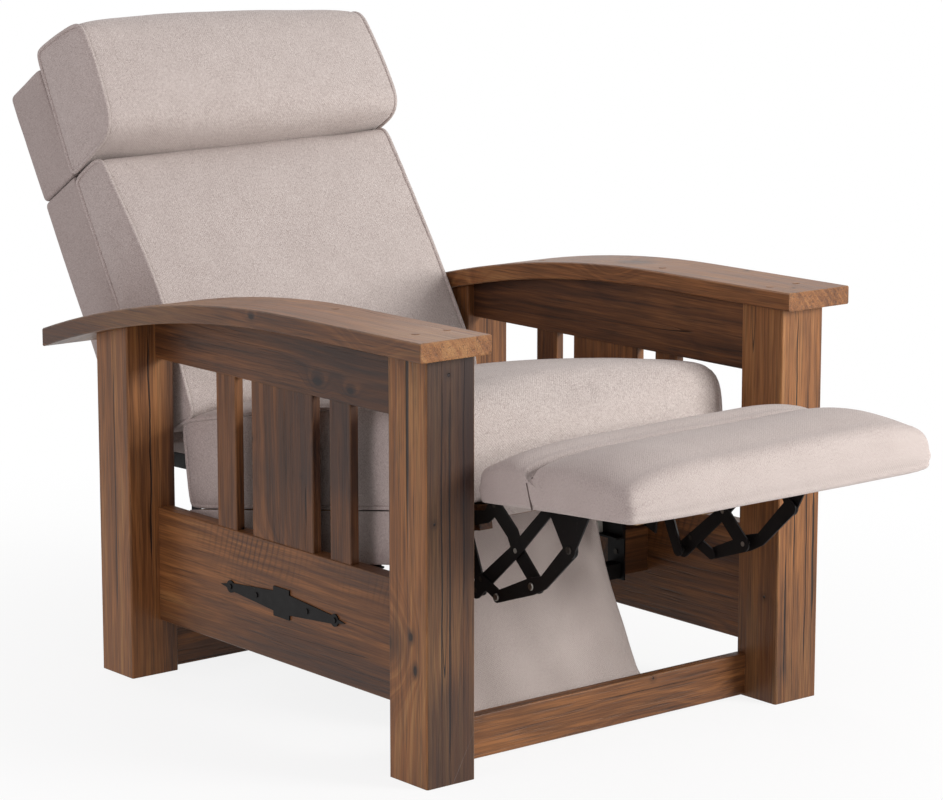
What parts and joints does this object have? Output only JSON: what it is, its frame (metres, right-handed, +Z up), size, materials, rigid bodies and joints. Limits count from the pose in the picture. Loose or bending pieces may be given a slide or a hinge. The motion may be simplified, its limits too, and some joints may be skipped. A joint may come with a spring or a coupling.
{
  "type": "mission reclining armchair",
  "caption": "Mission-style reclining armchair: slatted oak sides with bowed flat arms, loose upholstered seat and back, swing-out footrest on a riveted steel linkage.",
  "frame": {"origin": "on the floor, midway between the two side frames and midway between the outer faces of the front and rear posts", "axes": "+Z up, -Y is the front of the chair, +X is on the right of a viewer who faces the chair"},
  "size_m": [0.862, 1.6287, 1.0477],
  "materials": {
    "reclaimed_oak": "satin stained reclaimed oak with knots and nail holes",
    "raw_timber": "plain sawn framing timber",
    "black_steel": "satin black enamel",
    "bright_steel": "bright rivets, pins and screws",
    "nylon": "natural nylon",
    "upholstery": "oatmeal linen-like weave",
    "webbing": "jute webbing"
  },
  "bodies": {
    "base": {"arm_left": "reclaimed_oak", "arm_plugs": "reclaimed_oak", "arm_right": "reclaimed_oak", "base_screws": "bright_steel", "base_tubes": "black_steel", "front_post_left": "reclaimed_oak", "front_post_right": "reclaimed_oak", "front_stretcher": "reclaimed_oak", "glide_channel_left": "black_steel", "glide_channel_right": "black_steel", "glide_cleats": "raw_timber", "lower_rail_left": "reclaimed_oak", "lower_rail_right": "reclaimed_oak", "rear_post_left": "reclaimed_oak", "rear_post_right": "reclaimed_oak", "rear_stretcher": "reclaimed_oak", "skirt": "upholstery", "slats_left": "reclaimed_oak", "slats_right": "reclaimed_oak", "strap_plates": "black_steel", "strap_screws": "bright_steel", "upper_rail_left": "reclaimed_oak", "upper_rail_right": "reclaimed_oak"},
    "back": {"back_brackets": "black_steel", "back_cushion": "upholstery", "back_frame": "raw_timber", "back_shell": "upholstery", "back_webbing": "webbing", "head_cushion": "upholstery", "head_shell": "upholstery"},
    "footrest": {"footrest_board": "raw_timber", "footrest_bracket_left": "black_steel", "footrest_bracket_right": "black_steel", "footrest_fasteners": "bright_steel", "footrest_pad": "upholstery"},
    "front_swing": {"front_swing_link_left": "black_steel", "front_swing_link_right": "black_steel", "front_swing_rivets": "bright_steel"},
    "seat": {"glide_blocks": "nylon", "seat_back_brackets": "black_steel", "seat_cushion": "upholstery", "seat_front_rail": "raw_timber", "seat_inner_rails": "raw_timber", "seat_panels": "upholstery", "seat_plate_left": "black_steel", "seat_plate_right": "black_steel", "seat_plate_rivets": "bright_steel", "seat_rear_rail": "raw_timber", "seat_side_rail_left": "raw_timber", "seat_side_rail_right": "raw_timber", "seat_webbing": "webbing", "skirt_cleat": "raw_timber"},
    "lower_links": {"lower_link_left": "black_steel", "lower_link_right": "black_steel", "lower_link_rivets": "bright_steel"},
    "rear_swing": {"rear_swing_links": "black_steel"},
    "short_links": {"short_links": "black_steel"},
    "upper_links": {"upper_link_left": "black_steel", "upper_link_right": "black_steel", "upper_link_rivets": "bright_steel"}
  },
  "joints": [
    {"name": "seat_glide", "type": "slide", "parent": "base", "child": "seat", "axis": [0, 1, 0], "range_m": [0, 0.072], "deforming": ["skirt"]},
    {"name": "back_recline", "type": "hinge", "parent": "seat", "child": "back", "pos_m": [0, 0.356, 0.34], "axis": [-1, 0, 0], "range_deg": [0, 20]},
    {"name": "front_swing_pivot", "type": "hinge", "parent": "seat", "child": "front_swing", "pos_m": [0, -0.35708, 0.38781], "axis": [1, 0, 0], "range_deg": [0, 107.75]},
    {"name": "rear_swing_pivot", "type": "hinge", "parent": "seat", "child": "rear_swing", "pos_m": [0, -0.27359, 0.35101], "axis": [1, 0, 0], "range_deg": [0, 102.75]},
    {"name": "upper_link_pivot", "type": "hinge", "parent": "front_swing", "child": "upper_links", "pos_m": [0, -0.41148, 0.32791], "axis": [1, 0, 0], "range_deg": [-79.65, 0]},
    {"name": "footrest_pivot", "type": "hinge", "parent": "upper_links", "child": "footrest", "pos_m": [0, -0.49818, 0.41301], "axis": [1, 0, 0], "range_deg": [0, 65.35]},
    {"name": "lower_link_pivot", "type": "hinge", "parent": "front_swing", "child": "lower_links", "pos_m": [0, -0.45819, 0.28381], "axis": [1, 0, 0], "range_deg": [-79.15, 0]},
    {"name": "short_link_pivot", "type": "hinge", "parent": "upper_links", "child": "short_links", "pos_m": [0, -0.33488, 0.27081], "axis": [1, 0, 0], "range_deg": [0, 120.85]}
  ],
  "couplings": [
    {"joint": "front_swing_pivot", "follows": "seat_glide", "rad_per_m": 26.107},
    {"joint": "rear_swing_pivot", "follows": "seat_glide", "rad_per_m": 24.895},
    {"joint": "upper_link_pivot", "follows": "seat_glide", "rad_per_m": -19.296},
    {"joint": "footrest_pivot", "follows": "seat_glide", "rad_per_m": 15.829},
    {"joint": "lower_link_pivot", "follows": "seat_glide", "rad_per_m": -19.174},
    {"joint": "short_link_pivot", "follows": "seat_glide", "rad_per_m": 29.283}
  ]
}
